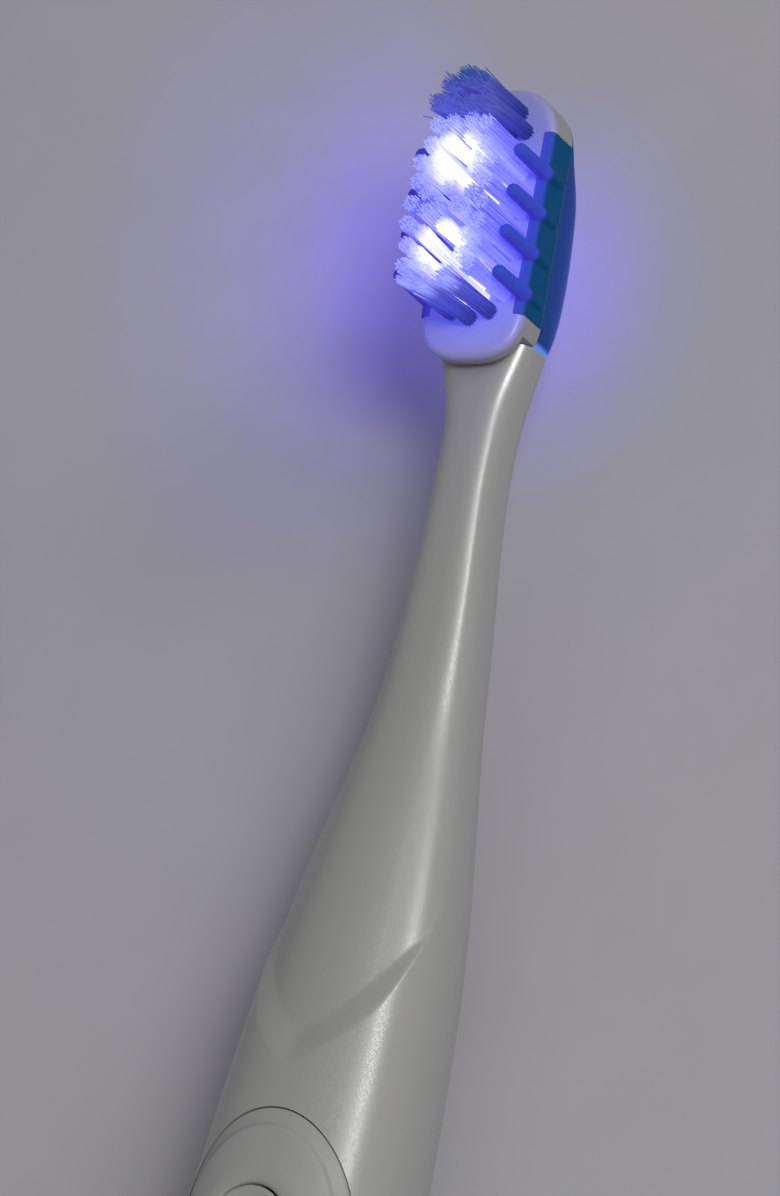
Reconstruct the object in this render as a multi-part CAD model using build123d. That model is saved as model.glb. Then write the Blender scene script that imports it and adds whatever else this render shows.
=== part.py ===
"""Battery toothbrush with a light-emitting brush head, modelled as an assembly of separate pieces.

Bench frame while modelling: +Y runs from the tail of the handle to the toe of the head, the handle's
straight axis is Y itself, and +Z points the way the bristles and the power button face. The head has a
frame of its own, pitched forwards about X. Everything is moved at the end so that the brush lies on the
flat grip pad at Z = 0 with the origin at the bottom centre of its box.
"""

from build123d import *
import os
from math import cos, pi, radians, sin, tan

# ---------------------------------------------------------------- driving dimensions, mm
REST_DEPTH = 12.0  # from the handle's axis down to the flat of the grip pad
HEAD_ORIGIN_Y = 179.1  # middle of the bristle face, on the bench frame
HEAD_ORIGIN_Z = 12.5
HEAD_PITCH = 7.0  # degrees that the head leans towards the bristles
TOE_Y, HEEL_Y = 17.2, -14.1  # ends of the face plate, in the head frame

# Handle and neck skin: (y, half width, half height, rise of the centre, squareness of the section)
SKIN = [
    (0.0, 10.3, 10.1, 0.0, 2.3),
    (6.0, 10.8, 10.5, 0.0, 2.3),
    (20.0, 11.3, 11.0, 0.0, 2.3),
    (38.0, 11.75, 11.45, 0.0, 2.3),
    (56.0, 11.85, 11.5, 0.0, 2.3),
    (68.5, 11.55, 11.2, 0.0, 2.3),
    (80.0, 11.0, 10.65, 0.0, 2.3),
    (91.0, 10.35, 10.05, 0.0, 2.3),
    (100.5, 9.6, 9.3, 0.0, 2.3),
    (109.4, 8.45, 8.2, 0.0, 2.35),
    (118.5, 7.0, 6.75, 0.0, 2.5),
    (127.5, 5.55, 5.45, 0.1, 2.7),
    (136.5, 4.65, 4.65, 0.65, 2.9),
    (145.3, 3.96, 4.14, 1.78, 3.0),
    (154.2, 3.55, 3.77, 3.0, 3.0),
    (161.0, 3.85, 3.55, 3.75, 3.0),
]
SEAM_Y, SEAM_Z = -11.2, -5.95  # the neck's end face, in the head frame
SEAM_HALF_W, SEAM_HALF_H, SEAM_POWER = 5.7, 3.15, 3.5
SECTION_POINTS = 24
WALL = 1.7
CAP_SPLIT_Y = 20.0
SEAM_GAP = 0.1  # between pieces of two bodies that seat on each other

# Grip pad on the back
PAD_Y0, PAD_Y1, PAD_HALF_W, PAD_SINK, PAD_ROUND = 24.0, 87.5, 5.4, 0.8, 0.6

# Control panel and power button, on the handle's front
PANEL_Y = 68.5
PANEL_HALF_W, PANEL_HALF_L = 9.7, 12.3
PANEL_GAP = 0.2
PANEL_DEPTH = 1.15
BUTTON_R, BUTTON_GAP = 4.1, 0.2
BUTTON_TOP_Z, BUTTON_FLOOR_Z = 11.1, 10.2
DISH_R, DISH_DEPTH = 30.0, 0.4
BUTTON_WELL_R = 4.7
STEM_R = 1.3
SEAL_Z0, SEAL_Z1 = 8.95, 9.35
RUNNING = 0.03  # radial clearance of pieces that turn or slide in each other

# Electronics bay
BOARD_HALF_W, BOARD_Z0, BOARD_T = 5.4, 6.1, 0.8
BOARD_Y0, BOARD_Y1 = 63.8, 89.0
SWITCH_HALF, SWITCH_H = 2.4, 1.3
PLUNGER_R, PLUNGER_TOP_Z, PLUNGER_L = 1.2, 8.72, 0.95
SCREW_SPOTS = [(-3.9, 75.5), (3.9, 86.0)]
SCREW_R, SCREW_HEAD_R, SCREW_HEAD_H, SCREW_L = 0.55, 1.1, 0.7, 4.0
BULKHEAD_Y0, BULKHEAD_Y1 = 61.4, 63.2
CHASSIS_GAP = 0.2
TRAY_HALF_W, TRAY_Y1, TRAY_Z0, TRAY_Z1 = 6.2, 88.0, 1.8, 3.0
WEB_HALF_W, WEB_Y0 = 5.6, 86.4
SADDLE_HALF_W, SADDLE_Z0 = 4.9, -5.6
SCREW_POST_R = 1.4
CHIP_HALF_W, CHIP_Y0, CHIP_Y1, CHIP_H = 2.0, 76.5, 80.5, 1.0
COIL_R, COIL_X, COIL_Y, COIL_H = 1.3, -3.4, 84.5, 0.9
CAPACITOR_R, CAPACITOR_X, CAPACITOR_Y, CAPACITOR_H = 1.0, 0.6, 85.0, 1.1
RESISTOR_COUNT, RESISTOR_Y0, RESISTOR_PITCH = 5, 72.2, 1.3
RESISTOR_X0, RESISTOR_X1, RESISTOR_W, RESISTOR_H = 3.4, 4.6, 0.6, 0.4

# Battery and its contacts
CELL_R, CELL_Y0, CELL_Y1 = 7.1, 9.5, 58.7
NUB_R, NUB_L = 2.75, 1.2
CAP_BORE_R, CAP_FLOOR_Y, TAIL_ROUND = 7.75, 4.0, 1.8
SPIGOT_Y0, SPIGOT_Y1 = 14.0, 27.5
SPIGOT_HALF_W, SPIGOT_HALF_H = 9.45, 9.15
CAP_SEAL_Y0, CAP_SEAL_Y1, CAP_SEAL_PROUD, CAP_SEAL_SINK = 22.2, 23.6, 0.1, 0.6
SPRING_R, SPRING_WIRE_R, SPRING_TURNS = 4.6, 0.4, 3
STRIP_HALF_W, STRIP_T, STRIP_ROOM = 1.2, 0.3, 0.4
CONTACT_T, CONTACT_R, CAP_PLATE_R = 0.4, 4.4, 6.4
CONTACT_TAB_HALF_W, CONTACT_TAB_Z = 1.4, 7.4

# Motor
MOTOR_R, MOTOR_Y0, MOTOR_Y1, MOTOR_Z = 4.0, 89.2, 105.0, -0.8
END_BELL_L = 1.3
SLEEVE_T, SLEEVE_Y0, SLEEVE_Y1 = 0.6, 91.5, 103.0
SHAFT_R, SHAFT_Y0, SHAFT_Y1 = 0.5, 96.0, 112.0
WEIGHT_R, WEIGHT_HUB_R, WEIGHT_Y0, WEIGHT_Y1 = 3.3, 1.3, 106.4, 111.2
LEAD_R, LEAD_X = 0.3, 1.0
MOTOR_LEAD_X, MOTOR_LEAD_Z = 2.2, 1.0

# Brush head, in the head frame
FACE_HALF_W = 6.15
PLATE_T = 2.4
SKIRT_Z = -4.4  # where the carrier ends and the back shell begins
HEEL_STEP_Z = -2.7  # underside of the heel, over the neck
BACK_Z, BACK_CENTRE_Z, BACK_POWER = -10.8, -3.9, 3.5
BACK_LINE = [(-15.1, -8.2), (SEAM_Y, -9.1), (-7.0, -10.35), (-2.5, BACK_Z), (3.5, -10.3)]
BACK_LINE += [(8.0, -8.95), (11.0, -6.9), (13.0, -5.3), (15.0, -4.0), (18.2, -2.2)]
UNDER_Z = -12.0  # anywhere below the back
BAND_T = 1.2
BAND_Y0, BAND_Y1 = -9.2, 11.8
FINGER_R, FINGER_X, FINGER_TIP_Z, FINGER_ROOT_Z = 0.85, 5.9, 6.4, -3.5
FINGER_PITCH, FINGER_COUNT = 4.62, 4
HOLE_DEPTH = 1.9
WHITE_TUFT_R, BLUE_TUFT_R = 0.8, 0.9
RIM_TUFT_Z, INNER_TUFT_Z, HEEL_TUFT_Z, TOE_TUFT_Z = 9.4, 9.0, 9.7, 10.2
# Tuft spots on the right half of the face, and those on its middle line
RIM_SPOTS = [(3.8, -7.1), (4.1, -4.8), (4.1, -2.4), (4.1, 0.0)]
RIM_SPOTS += [(4.1, 2.3), (4.1, 4.6), (3.2, 6.6), (3.0, 8.9)]
INNER_SPOTS = [(1.3, -7.5), (2.65, -5.9), (2.7, -3.55), (2.6, -1.2), (2.65, 1.15), (2.6, 3.5)]
INNER_SPOTS += [(2.2, 5.1), (1.35, 7.3), (1.1, 9.3), (1.0, -0.5), (0.0, -2.6), (0.0, 1.55)]
HEEL_SPOTS = [(2.3, -8.9), (0.0, -9.6)]
TOE_SPOTS = [(2.87, 11.75), (1.86, 14.0), (0.0, 14.85), (1.0, 11.5)]
LED_Y = [-5.6, 4.5]
LENS_R, LENS_RISE, LENS_DOME_R = 1.4, 0.3, 4.0
ANCHOR_HALF_L, ANCHOR_HALF_T, ANCHOR_H = 0.6, 0.12, 0.9

# Light tongue: the neck's stem that carries the lights up inside the head, in the head frame
TONGUE_HALF_W, TONGUE_Z0, TONGUE_Z1, TONGUE_Y1 = 3.4, -5.6, -4.0, 8.2
TONGUE_SLACK = 0.25
PLUG_HALF_W, PLUG_Y0 = 2.3, -18.0
LEAD_ENTRY = 2.5  # how far the plug's slot runs on into the neck's bore
LED_BOARD_HALF_W, LED_BOARD_Y0, LED_BOARD_T = 2.6, -10.0, 0.4
LED_HALF, LED_H = 0.9, 0.8
PIN_Z, PIN_RISE_Y = -5.0, -9.0

HEAD = Location((0, HEAD_ORIGIN_Y, HEAD_ORIGIN_Z), (HEAD_PITCH, 0, 0))


# ---------------------------------------------------------------- helpers
def block(x0, x1, y0, y1, z0, z1):
    """A box given by its limits."""
    size = (x1 - x0, y1 - y0, z1 - z0)
    return Pos((x0 + x1) / 2, (y0 + y1) / 2, (z0 + z1) / 2) * Box(*size)


def slab(y0, y1):
    """Everything between two stations."""
    return block(-30, 30, y0, y1, -30, 30)


def rod(radius, y0, y1, x=0.0, z=0.0):
    """A cylinder along Y."""
    return Pos(x, (y0 + y1) / 2, z) * Rot(90, 0, 0) * Cylinder(radius, y1 - y0)


def post(radius, x, y, z0, z1):
    """A cylinder along Z."""
    return Pos(x, y, (z0 + z1) / 2) * Cylinder(radius, z1 - z0)


def superellipse(half_w, half_h, power):
    """A closed, smooth section in the XY plane, as a face."""
    points = []
    for i in range(SECTION_POINTS):
        t = 2 * pi * i / SECTION_POINTS
        c, s = cos(t), sin(t)
        x = half_w * abs(c) ** (2 / power) * (1 if c >= 0 else -1)
        y = half_h * abs(s) ** (2 / power) * (1 if s >= 0 else -1)
        points.append((x, y))
    return make_face(Spline(points, periodic=True))


def across(y, z):
    """The plane square to Y at a station, with its own y pointing up."""
    return Plane(origin=(0, y, z), x_dir=(1, 0, 0), z_dir=(0, -1, 0))


def skin(offset=0.0, y0=0.0, y1=161.0, tip=False):
    """The handle's solid between two stations of SKIN, grown by offset; tip goes on to the seam."""
    faces = []
    for y, half_w, half_h, rise, power in SKIN:
        if y0 <= y <= y1:
            faces.append(across(y, rise) * superellipse(half_w + offset, half_h + offset, power))
    if tip:
        faces.append(HEAD * (across(SEAM_Y, SEAM_Z) * superellipse(SEAM_HALF_W, SEAM_HALF_H, SEAM_POWER)))
    return loft(faces)


def oval(grow):
    """An upright oval prism at the control panel."""
    outline = Pos(0, PANEL_Y, 0) * Ellipse(PANEL_HALF_W + grow, PANEL_HALF_L + grow)
    return extrude(outline, 20)


def mirrored(solid):
    """The same solid on the other side of the brush."""
    return mirror(solid, about=Plane.YZ)


OUTER = skin(tip=True)
CAVITY = skin(-WALL)
PANEL_FLOOR = skin(-PANEL_DEPTH, 38.0, 109.4)


# ---------------------------------------------------------------- handle: shell, pad, panel
def grip_pad():
    """Soft pad let into the back of the handle, with the flat that the brush lies on."""
    length = PAD_Y1 - PAD_Y0
    plan = RectangleRounded(2 * PAD_HALF_W, length, PAD_HALF_W - 0.2)
    prism = extrude(Pos(0, PAD_Y0 + length / 2, -REST_DEPTH) * plan, 8)
    prism = fillet(prism.edges().group_by(Axis.Z)[0], PAD_ROUND)
    return prism - skin(-PAD_SINK, 6.0, 109.4)


def handle_shell(pad):
    """One-piece neck and handle, hollow, open at the tail, with pockets for the panel and the pad."""
    shell = OUTER & slab(CAP_SPLIT_Y, 200)
    shell -= CAVITY
    shell -= oval(PANEL_GAP) - PANEL_FLOOR
    shell -= post(BUTTON_WELL_R, 0, PANEL_Y, 5, 14)
    shell -= pad
    shell -= HEAD * plug(PLUG_Y0 - LEAD_ENTRY, SEAM_Y + 1)
    return shell - HEAD * neck_seal_block()


def control_panel():
    """Oval cover that follows the handle's skin, with the button's hole."""
    panel = (OUTER & oval(0)) - PANEL_FLOOR
    return panel - post(BUTTON_R + BUTTON_GAP, 0, PANEL_Y, 5, 14)


def power_button():
    """Round push button with a shallow dish and the stem that reaches the switch."""
    cap = post(BUTTON_R, 0, PANEL_Y, BUTTON_FLOOR_Z, BUTTON_TOP_Z)
    cap -= Pos(0, PANEL_Y, BUTTON_TOP_Z + DISH_R - DISH_DEPTH) * Sphere(DISH_R)
    return cap + post(STEM_R, 0, PANEL_Y, PLUNGER_TOP_Z + 0.05, BUTTON_FLOOR_Z + 0.1)


def button_seal():
    """Rubber membrane across the button's well, with the stem through it."""
    seal = post(BUTTON_WELL_R, 0, PANEL_Y, SEAL_Z0, SEAL_Z1)
    return (seal - post(STEM_R + RUNNING, 0, PANEL_Y, 5, 14)) - (OUTER - PANEL_FLOOR)


# ---------------------------------------------------------------- handle: electronics
def chassis():
    """Inner carrier: bulkhead behind the battery, tray under the board, saddle under the motor."""
    bulkhead = skin(-WALL - CHASSIS_GAP) & slab(BULKHEAD_Y0, BULKHEAD_Y1)
    notch_z = STRIP_HALF_W + STRIP_ROOM
    bulkhead -= block(CAP_BORE_R - 0.25, 12, 60, 65, -notch_z, notch_z)
    body = bulkhead + block(-TRAY_HALF_W, TRAY_HALF_W, BULKHEAD_Y1, TRAY_Y1, TRAY_Z0, TRAY_Z1)
    body += block(-WEB_HALF_W, WEB_HALF_W, WEB_Y0, TRAY_Y1, SADDLE_Z0, TRAY_Z1)
    body += block(-SADDLE_HALF_W, SADDLE_HALF_W, TRAY_Y1, SLEEVE_Y1, SADDLE_Z0, MOTOR_Z)
    body -= rod(MOTOR_R + SLEEVE_T, TRAY_Y1, 110, z=MOTOR_Z)
    for x, y in SCREW_SPOTS:
        body += post(SCREW_POST_R, x, y, TRAY_Z1, BOARD_Z0)
        body -= post(SCREW_R, x, y, BOARD_Z0 + BOARD_T - SCREW_L, 20)
    return body


def main_board():
    """Control board with holes for its screws."""
    board = block(-BOARD_HALF_W, BOARD_HALF_W, BOARD_Y0, BOARD_Y1, BOARD_Z0, BOARD_Z0 + BOARD_T)
    for x, y in SCREW_SPOTS:
        board -= post(SCREW_R + 0.15, x, y, 0, 20)
    return board


def board_components():
    """Driver chip, coil, capacitor and a row of resistors."""
    top = BOARD_Z0 + BOARD_T
    parts = [block(-CHIP_HALF_W, CHIP_HALF_W, CHIP_Y0, CHIP_Y1, top, top + CHIP_H)]
    parts.append(post(COIL_R, COIL_X, COIL_Y, top, top + COIL_H))
    parts.append(post(CAPACITOR_R, CAPACITOR_X, CAPACITOR_Y, top, top + CAPACITOR_H))
    for i in range(RESISTOR_COUNT):
        y = RESISTOR_Y0 + RESISTOR_PITCH * i
        parts.append(block(RESISTOR_X0, RESISTOR_X1, y, y + RESISTOR_W, top, top + RESISTOR_H))
    return parts


def board_screws():
    """Two pan-head screws through the board into the chassis posts."""
    top = BOARD_Z0 + BOARD_T
    screws = []
    for x, y in SCREW_SPOTS:
        screw = post(SCREW_R, x, y, top - SCREW_L, top)
        screw += post(SCREW_HEAD_R, x, y, top, top + SCREW_HEAD_H)
        for size in ((1.4, 0.3, 0.5), (0.3, 1.4, 0.5)):
            screw -= Pos(x, y, top + SCREW_HEAD_H) * Box(*size)
        screws.append(screw)
    return screws


def switch_body():
    """Tactile switch on the board, with the plunger's bore."""
    top = BOARD_Z0 + BOARD_T
    half = SWITCH_HALF
    body = block(-half, half, PANEL_Y - half, PANEL_Y + half, top, top + SWITCH_H)
    return body - post(PLUNGER_R + RUNNING, 0, PANEL_Y, top + 0.1, 20)


def battery_terminal():
    """The cell's raised positive end."""
    return rod(NUB_R, CELL_Y1, CELL_Y1 + NUB_L)


def positive_contact():
    """Sprung plate on the bulkhead, with a tab up towards the board."""
    y0 = BULKHEAD_Y0 - CONTACT_T
    tab = block(-CONTACT_TAB_HALF_W, CONTACT_TAB_HALF_W, y0, BULKHEAD_Y0, 3, CONTACT_TAB_Z)
    return rod(CONTACT_R, y0, BULKHEAD_Y0) + tab


def return_strip():
    """Brass strip beside the cell, from the cap's contact to the board."""
    x0 = CAP_BORE_R
    return block(x0, x0 + STRIP_T, SPIGOT_Y1 - 2.4, BOARD_Y0 - 0.2, -STRIP_HALF_W, STRIP_HALF_W)


# ---------------------------------------------------------------- handle: motor and leads
def motor_can():
    """Steel can of the vibration motor, with its front bearing bore."""
    can = rod(MOTOR_R, MOTOR_Y0 + END_BELL_L, MOTOR_Y1, z=MOTOR_Z)
    return can - rod(SHAFT_R + RUNNING, SHAFT_Y0 - 0.5, MOTOR_Y1 + 1, z=MOTOR_Z)


def motor_sleeve():
    """Rubber sleeve that holds the can in its saddle."""
    return rod(MOTOR_R + SLEEVE_T, SLEEVE_Y0, SLEEVE_Y1, z=MOTOR_Z) - rod(MOTOR_R, 80, 110, z=MOTOR_Z)


def eccentric_weight():
    """Half-moon weight on the motor's shaft."""
    moon = rod(WEIGHT_R, WEIGHT_Y0, WEIGHT_Y1, z=MOTOR_Z)
    moon -= block(-6, 6, 100, 120, MOTOR_Z, MOTOR_Z + 6)
    moon += rod(WEIGHT_HUB_R, WEIGHT_Y0, WEIGHT_Y1, z=MOTOR_Z)
    return moon - rod(SHAFT_R, 100, 120, z=MOTOR_Z)


def motor_leads():
    """Two short leads from the board down to the motor's end bell."""
    leads = []
    y = MOTOR_Y0 - 0.65
    for x in (-MOTOR_LEAD_X, MOTOR_LEAD_X):
        drop = post(LEAD_R, x, y, MOTOR_LEAD_Z, BOARD_Z0)
        leads.append(drop + rod(LEAD_R, y, MOTOR_Y0, x=x, z=MOTOR_LEAD_Z + LEAD_R))
    return leads


def led_leads():
    """Two leads from the board through the neck to the tongue's pins."""
    tail = (HEAD * Pos(0, PLUG_Y0, PIN_Z)).position
    route = [(BOARD_Y1, BOARD_Z0 + BOARD_T / 2), (104.0, 5.2), (117.0, 3.3), (130.0, 1.5)]
    route += [(141.5, 1.7), (152.0, 3.3), (tail.Y, tail.Z)]
    radii = []
    for a, b, c in zip(route, route[1:], route[2:]):
        before = Vector(0, b[0] - a[0], b[1] - a[1])
        after = Vector(0, c[0] - b[0], c[1] - b[1])
        run = min(before.length, after.length)
        radii.append(0.45 * run / tan(radians(before.get_angle(after)) / 2))
    leads = []
    for x in (-LEAD_X, LEAD_X):
        path = FilletPolyline([(x, y, z) for y, z in route], radius=radii)
        leads.append(sweep(Plane(origin=path @ 0, z_dir=path % 0) * Circle(LEAD_R), path=path))
    return leads


# ---------------------------------------------------------------- end cap
def spigot(grow, y0, y1):
    """Straight bar with the section of the cap's spigot, grown by an offset."""
    section = superellipse(SPIGOT_HALF_W + grow, SPIGOT_HALF_H + grow, SKIN[0][4])
    return extrude(across(y1, 0) * section, y1 - y0)


def end_cap():
    """Battery cap, flush with the handle, with the spigot that slides into it."""
    cap = OUTER & slab(-1, CAP_SPLIT_Y - SEAM_GAP)
    cap = fillet(cap.edges().group_by(Axis.Y)[0], TAIL_ROUND)
    cap += spigot(0, SPIGOT_Y0, SPIGOT_Y1)
    cap -= rod(CAP_BORE_R, CAP_FLOOR_Y, 40)
    slot_x1 = CAP_BORE_R + STRIP_T + STRIP_ROOM
    slot_z = STRIP_HALF_W + STRIP_ROOM
    cap -= block(CAP_BORE_R - 1, slot_x1, SPIGOT_Y1 - 3, 40, -slot_z, slot_z)
    return cap - cap_seal()


def cap_seal():
    """Rubber seal ring in the spigot's groove."""
    ring = spigot(CAP_SEAL_PROUD, CAP_SEAL_Y0, CAP_SEAL_Y1)
    return ring - spigot(-CAP_SEAL_SINK, CAP_SEAL_Y0, CAP_SEAL_Y1)


def cap_contact():
    """Brass plate on the cap's floor, with the arm that reaches the return strip."""
    x1 = CAP_BORE_R - 0.12
    y1 = CAP_FLOOR_Y + STRIP_T
    plate = rod(CAP_PLATE_R, CAP_FLOOR_Y, y1)
    foot = block(5, x1, CAP_FLOOR_Y, y1, -STRIP_HALF_W, STRIP_HALF_W)
    arm = block(x1 - STRIP_T, x1, CAP_FLOOR_Y, SPIGOT_Y1 - 0.4, -STRIP_HALF_W, STRIP_HALF_W)
    return plate + foot + arm


def cap_spring():
    """Coil spring between the cap's contact and the cell."""
    y0 = CAP_FLOOR_Y + STRIP_T + SPRING_WIRE_R
    length = CELL_Y0 - SPRING_WIRE_R - 0.15 - y0
    path = Helix(length / SPRING_TURNS, length, SPRING_R)
    coil = sweep(Plane(origin=path @ 0, z_dir=path % 0) * Circle(SPRING_WIRE_R), path=path)
    return Pos(0, y0, 0) * Rot(-90, 0, 0) * coil


# ---------------------------------------------------------------- light tongue
def plug(y0, y1):
    """The part of the tongue that is fixed in the neck."""
    return block(-PLUG_HALF_W, PLUG_HALF_W, y0, y1, TONGUE_Z0, TONGUE_Z1)


def tongue_prism(grow, y0, y1):
    """Half-round bar along the head, flat side up."""
    section = Plane(origin=(0, y1, TONGUE_Z1), x_dir=(1, 0, 0), z_dir=(0, -1, 0))
    bar = extrude(section * Ellipse(TONGUE_HALF_W + grow, TONGUE_Z1 - TONGUE_Z0 + grow), y1 - y0)
    return bar & block(-9, 9, y0, y1, -20, TONGUE_Z1)


def light_tongue():
    """Stem fixed in the neck, with holes for its two pins."""
    tongue = tongue_prism(0, SEAM_Y, TONGUE_Y1) + plug(PLUG_Y0, SEAM_Y)
    for pin in tongue_contacts():
        tongue -= pin
    return tongue


def tongue_contacts():
    """Two pins through the tongue, turned up to the light board."""
    pins = []
    for x in (-LEAD_X, LEAD_X):
        pin = rod(LEAD_R, PLUG_Y0, PIN_RISE_Y + LEAD_R, x=x, z=PIN_Z)
        pins.append(pin + post(LEAD_R, x, PIN_RISE_Y, PIN_Z, TONGUE_Z1))
    return pins


def neck_seal_block():
    """Room for the gasket in the neck's end face."""
    return block(-3.3, 3.3, SEAM_Y - 0.7, SEAM_Y + 2, TONGUE_Z0 - 0.9, TONGUE_Z1 + 0.7)


def neck_seal():
    """Gasket round the tongue's root."""
    return (neck_seal_block() & slab(SEAM_Y - 3, SEAM_Y)) - plug(PLUG_Y0, SEAM_Y + 1)


def led_board():
    """Narrow board on the flat of the tongue."""
    y0, y1 = LED_BOARD_Y0, TONGUE_Y1 - 0.6
    return block(-LED_BOARD_HALF_W, LED_BOARD_HALF_W, y0, y1, TONGUE_Z1, TONGUE_Z1 + LED_BOARD_T)


def led_chips():
    """Two light-emitting chips on the light board."""
    z0 = TONGUE_Z1 + LED_BOARD_T
    half = LED_HALF
    return [block(-half, half, y - half, y + half, z0, z0 + LED_H) for y in LED_Y]


# ---------------------------------------------------------------- brush head
def head_form():
    """Outside of the head: rounded plan, bulging back that rises to the toe, squarish cross-section."""
    length = TOE_Y - HEEL_Y
    plan = RectangleRounded(2 * FACE_HALF_W, length, FACE_HALF_W - 0.05)
    back = Spline(*BACK_LINE)
    y0, y1 = BACK_LINE[0][0], BACK_LINE[-1][0]
    side = back + Polyline(back @ 1, (y1, 0), (y0, 0), back @ 0)
    side_prism = extrude(Plane.YZ * make_face(side), 10, both=True)
    belly = superellipse(FACE_HALF_W + 0.02, BACK_CENTRE_Z - BACK_Z, BACK_POWER)
    belly_prism = extrude(Plane.XZ * Pos(0, BACK_CENTRE_Z) * belly, 40, both=True)
    belly_prism += block(-9, 9, -40, 40, BACK_CENTRE_Z, 1)
    upright = extrude(Pos(0, HEEL_Y + length / 2, UNDER_Z) * plan, -UNDER_Z)
    return upright & side_prism & belly_prism


def inner_bay():
    """The room inside the head that the tongue and its lights slide into."""
    bay = tongue_prism(TONGUE_SLACK, SEAM_Y - 1, TONGUE_Y1 + 0.6)
    half_w = TONGUE_HALF_W + TONGUE_SLACK
    return bay + block(-half_w, half_w, SEAM_Y - 1, TONGUE_Y1 + 0.6, TONGUE_Z1, -PLATE_T)


def band_wall(form):
    """Side wall of the head that the soft band takes up, right side."""
    core = block(-9, FACE_HALF_W - BAND_T, -30, 30, -9, 1)
    return (form & block(0, 9, BAND_Y0, BAND_Y1, SKIRT_Z, 0)) - core


def finger_band(form):
    """Soft side band with its row of massaging fingers, right side."""
    band = band_wall(form)
    for i in range(FINGER_COUNT):
        y = (i - (FINGER_COUNT - 1) / 2) * FINGER_PITCH
        band += post(FINGER_R, FINGER_X, y, FINGER_ROOT_Z, FINGER_TIP_Z - FINGER_R)
        band += Pos(FINGER_X, y, FINGER_TIP_Z - FINGER_R) * Sphere(FINGER_R)
    return band


def bristle_carrier(form, holes):
    """White carrier: face plate with tuft holes, skirt, and the heel that overhangs the neck."""
    carrier = form & block(-9, 9, -30, 30, SKIRT_Z, 1)
    carrier -= block(-9, 9, -30, SEAM_Y + SEAM_GAP, UNDER_Z, HEEL_STEP_Z)
    carrier -= inner_bay()
    wall = band_wall(form)
    carrier -= wall
    carrier -= mirrored(wall)
    for hole in holes:
        carrier -= hole
    return carrier


def head_back_shell(form):
    """Translucent blue back of the head."""
    shell = form & block(-9, 9, SEAM_Y + SEAM_GAP, 30, UNDER_Z, SKIRT_Z)
    return shell - inner_bay()


def light_lenses():
    """Two clear windows in the face plate, over the lights."""
    lenses = []
    for y in LED_Y:
        dome = Pos(0, y, LENS_RISE - LENS_DOME_R) * Sphere(LENS_DOME_R)
        dome += post(LENS_DOME_R, 0, y, -PLATE_T, -0.2)
        lenses.append(post(LENS_R, 0, y, -PLATE_T, 1) & dome)
    return lenses


def both_sides(spots):
    """Tuft spots on both halves of the face, from those on the right half."""
    return spots + [(-x, y) for x, y in spots if x > 0]


def anchor(x, y):
    """Metal staple at the bottom of a tuft's hole."""
    staple = block(-ANCHOR_HALF_L, ANCHOR_HALF_L, -ANCHOR_HALF_T, ANCHOR_HALF_T, 0, ANCHOR_H)
    return Pos(x, y, -HOLE_DEPTH) * staple


def tufts(spots, radius, top):
    """Tufts of one length, each folded round its staple."""
    return [post(radius, x, y, -HOLE_DEPTH, top) - anchor(x, y) for x, y in both_sides(spots)]


def tuft_holes():
    """Every hole in the face plate."""
    holes = [post(LENS_R, 0, y, -9, 1) for y in LED_Y]
    groups = [(RIM_SPOTS + INNER_SPOTS, WHITE_TUFT_R), (HEEL_SPOTS + TOE_SPOTS, BLUE_TUFT_R)]
    for spots, radius in groups:
        holes += [post(radius, x, y, -HOLE_DEPTH, 1) for x, y in both_sides(spots)]
    return holes


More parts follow.
